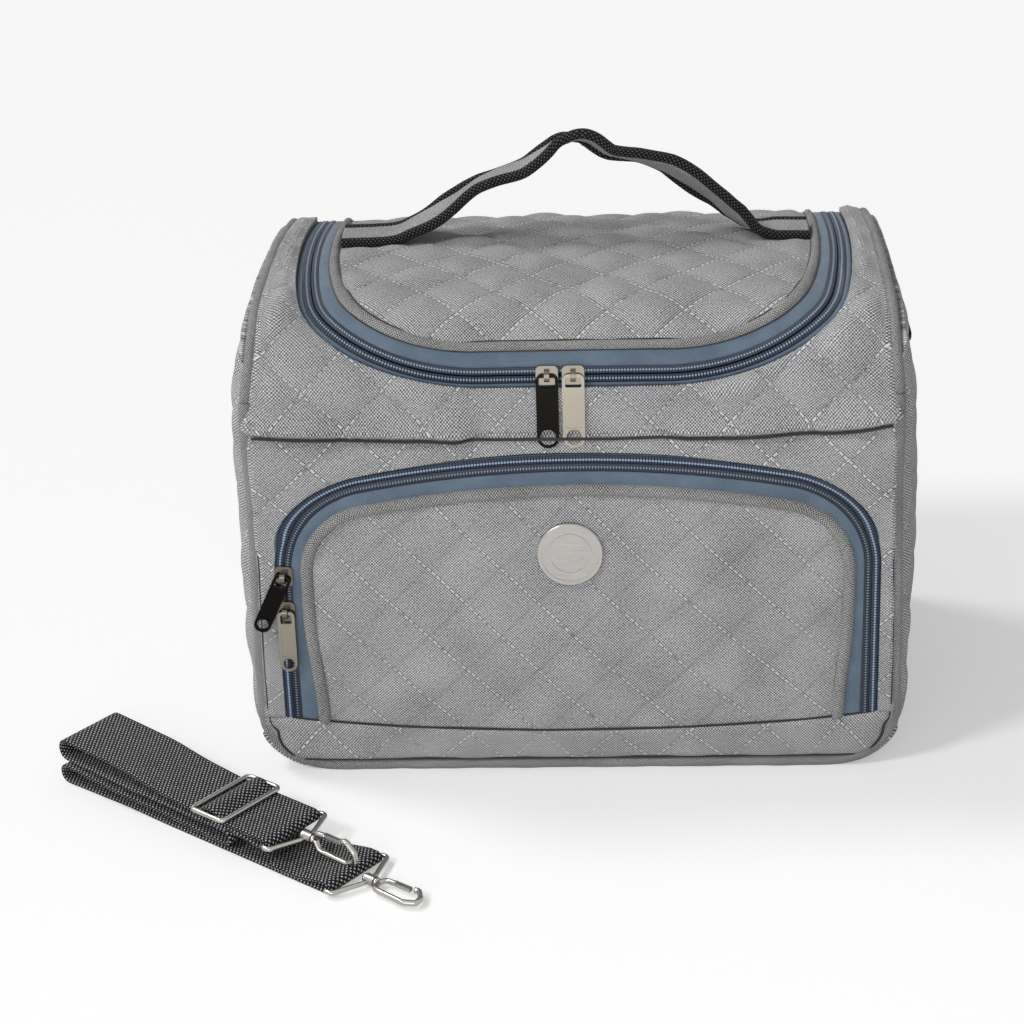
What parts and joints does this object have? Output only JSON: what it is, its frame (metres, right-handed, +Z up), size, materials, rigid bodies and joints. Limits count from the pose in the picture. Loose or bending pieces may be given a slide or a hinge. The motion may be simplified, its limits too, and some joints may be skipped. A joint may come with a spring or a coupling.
{
  "type": "vanity case",
  "caption": "Soft quilted vanity case with a zipped lid, a zipped front pocket, a carry handle, side rings and a loose shoulder strap with snap hooks.",
  "frame": {"origin": "middle of the base, on the floor", "axes": "+X along the width to the right seen from the front, +Y to the back, +Z up"},
  "size_m": [0.4509, 0.3435, 0.3106],
  "materials": {
    "quilted_fabric": "melange weave, quilted in diamonds",
    "piping_fabric": "plain woven piping",
    "zip_tape": "dusty blue twill tape",
    "zip_coil": "navy coil with white stitches",
    "gunmetal": "dark polished plating",
    "nickel": "bright nickel plating",
    "badge_metal": "satin with a polished rim",
    "webbing": "charcoal woven webbing",
    "lining": "plain woven lining",
    "board": "plain stiffener"
  },
  "bodies": {
    "case": {"front_panel": "quilted_fabric", "back_panel": "quilted_fabric", "left_gusset": "quilted_fabric", "right_gusset": "quilted_fabric", "base_panel": "quilted_fabric", "base_board": "board", "main_lining": "lining", "front_piping": "piping_fabric", "back_piping": "piping_fabric", "left_top_piping": "piping_fabric", "right_top_piping": "piping_fabric", "case_zip_tape": "zip_tape", "case_zip_coil": "zip_coil", "pocket_surround": "quilted_fabric", "pocket_base_band": "quilted_fabric", "pocket_zip_tape": "zip_tape", "pocket_zip_coil": "zip_coil", "left_ring_tab": "webbing", "right_ring_tab": "webbing"},
    "lid": {"lid_panel": "quilted_fabric", "lid_piping": "piping_fabric", "lid_lining": "lining", "lid_tape": "zip_tape", "lid_coil_left": "zip_coil", "lid_coil_right": "zip_coil", "handle_left_end": "quilted_fabric", "handle_right_end": "quilted_fabric"},
    "handle": {"handle_strap": "quilted_fabric", "handle_front_binding": "webbing", "handle_rear_binding": "webbing"},
    "pocket_flap": {"flap_panel": "quilted_fabric", "flap_piping": "piping_fabric", "flap_tape": "zip_tape", "flap_coil": "zip_coil", "flap_coil_foot": "zip_coil", "badge": "badge_metal", "badge_washer": "nickel"},
    "lid_slider_left": {"lid_slider_left": "gunmetal"},
    "lid_slider_right": {"lid_slider_right": "gunmetal"},
    "lid_pull_left": {"lid_pull_left": "gunmetal"},
    "lid_pull_right": {"lid_pull_right": "gunmetal"},
    "pocket_slider_upper": {"pocket_slider_upper": "gunmetal"},
    "pocket_slider_lower": {"pocket_slider_lower": "gunmetal"},
    "pocket_pull_upper": {"pocket_pull_upper": "gunmetal"},
    "pocket_pull_lower": {"pocket_pull_lower": "gunmetal"},
    "left_ring": {"left_ring": "nickel"},
    "right_ring": {"right_ring": "nickel"},
    "strap": {"shoulder_webbing": "webbing", "strap_buckle": "nickel"},
    "near_frame": {"near_frame": "nickel"},
    "far_frame": {"far_frame": "nickel"},
    "near_hook": {"near_hook": "nickel"},
    "far_hook": {"far_hook": "nickel"},
    "near_gate": {"near_gate": "nickel"},
    "far_gate": {"far_gate": "nickel"}
  },
  "joints": [
    {"name": "lid_hinge", "type": "hinge", "parent": "case", "child": "lid", "pos_m": [0, 0.088, 0.2402], "axis": [-1, 0, 0], "range_deg": [0, 165]},
    {"name": "handle_swing", "type": "hinge", "parent": "lid", "child": "handle", "pos_m": [0.004, 0.02, 0.26692], "axis": [1, 0, 0], "range_deg": [-70, 70]},
    {"name": "pocket_hinge", "type": "hinge", "parent": "case", "child": "pocket_flap", "pos_m": [0, -0.1108, 0.0262], "axis": [1, 0, 0], "range_deg": [0, 90]},
    {"name": "lid_zip_left", "type": "slide", "parent": "case", "child": "lid_slider_left", "axis": [-1, 0, 0], "range_m": [0, 0.027]},
    {"name": "lid_zip_right", "type": "slide", "parent": "case", "child": "lid_slider_right", "axis": [1, 0, 0], "range_m": [0, 0.039]},
    {"name": "lid_pull_left_swing", "type": "hinge", "parent": "lid_slider_left", "child": "lid_pull_left", "pos_m": [-0.0125, -0.1055, 0.22041], "axis": [-1, 0, 0], "range_deg": [0, 165]},
    {"name": "lid_pull_right_swing", "type": "hinge", "parent": "lid_slider_right", "child": "lid_pull_right", "pos_m": [0.0005, -0.1055, 0.22041], "axis": [-1, 0, 0], "range_deg": [0, 165]},
    {"name": "pocket_zip_lower", "type": "slide", "parent": "case", "child": "pocket_slider_lower", "axis": [0, 0, -1], "range_m": [0, 0.054]},
    {"name": "pocket_zip_upper", "type": "slide", "parent": "case", "child": "pocket_slider_upper", "axis": [0, 0, 1], "range_m": [0, 0.0025]},
    {"name": "pocket_pull_lower_swing", "type": "hinge", "parent": "pocket_slider_lower", "child": "pocket_pull_lower", "pos_m": [-0.14932, -0.11136, 0.095], "axis": [-1, 0, 0], "range_deg": [0, 100]},
    {"name": "pocket_pull_upper_swing", "type": "hinge", "parent": "pocket_slider_upper", "child": "pocket_pull_upper", "pos_m": [-0.14932, -0.11136, 0.115], "axis": [-0.9063, 0, 0.4226], "range_deg": [0, 150]},
    {"name": "left_ring_swing", "type": "hinge", "parent": "case", "child": "left_ring", "pos_m": [-0.17252, 0, 0.203], "axis": [0, 1, 0], "range_deg": [0, 150]},
    {"name": "right_ring_swing", "type": "hinge", "parent": "case", "child": "right_ring", "pos_m": [0.17252, 0, 0.203], "axis": [0, -1, 0], "range_deg": [0, 150]},
    {"name": "strap_lift", "type": "slide", "parent": "case", "child": "strap", "axis": [0, 0, 1], "range_m": [0, 0.3]},
    {"name": "near_frame_swing", "type": "hinge", "parent": "strap", "child": "near_frame", "pos_m": [-0.1432, -0.18827, 0.013], "axis": [-0.6018, -0.7986, 0], "range_deg": [0, 60]},
    {"name": "far_frame_swing", "type": "hinge", "parent": "strap", "child": "far_frame", "pos_m": [-0.11046, -0.21295, 0.0032], "axis": [-0.6018, -0.7986, 0], "range_deg": [0, 60]},
    {"name": "near_hook_swivel", "type": "hinge", "parent": "near_frame", "child": "near_hook", "pos_m": [-0.13522, -0.19429, 0.013], "axis": [0.7986, -0.6018, 0], "continuous": true},
    {"name": "far_hook_swivel", "type": "hinge", "parent": "far_frame", "child": "far_hook", "pos_m": [-0.10247, -0.21896, 0.0032], "axis": [0.7986, -0.6018, 0], "continuous": true},
    {"name": "near_gate_pivot", "type": "hinge", "parent": "near_hook", "child": "near_gate", "pos_m": [-0.12436, -0.20247, 0.0178], "axis": [0.6018, 0.7986, 0], "range_deg": [0, 25], "stiffness_Nm_per_rad": 0.002, "springref_deg": -11.46},
    {"name": "far_gate_pivot", "type": "hinge", "parent": "far_hook", "child": "far_gate", "pos_m": [-0.08872, -0.22332, 0.0032], "axis": [0, 0, -1], "range_deg": [0, 25], "stiffness_Nm_per_rad": 0.002, "springref_deg": -11.46}
  ]
}
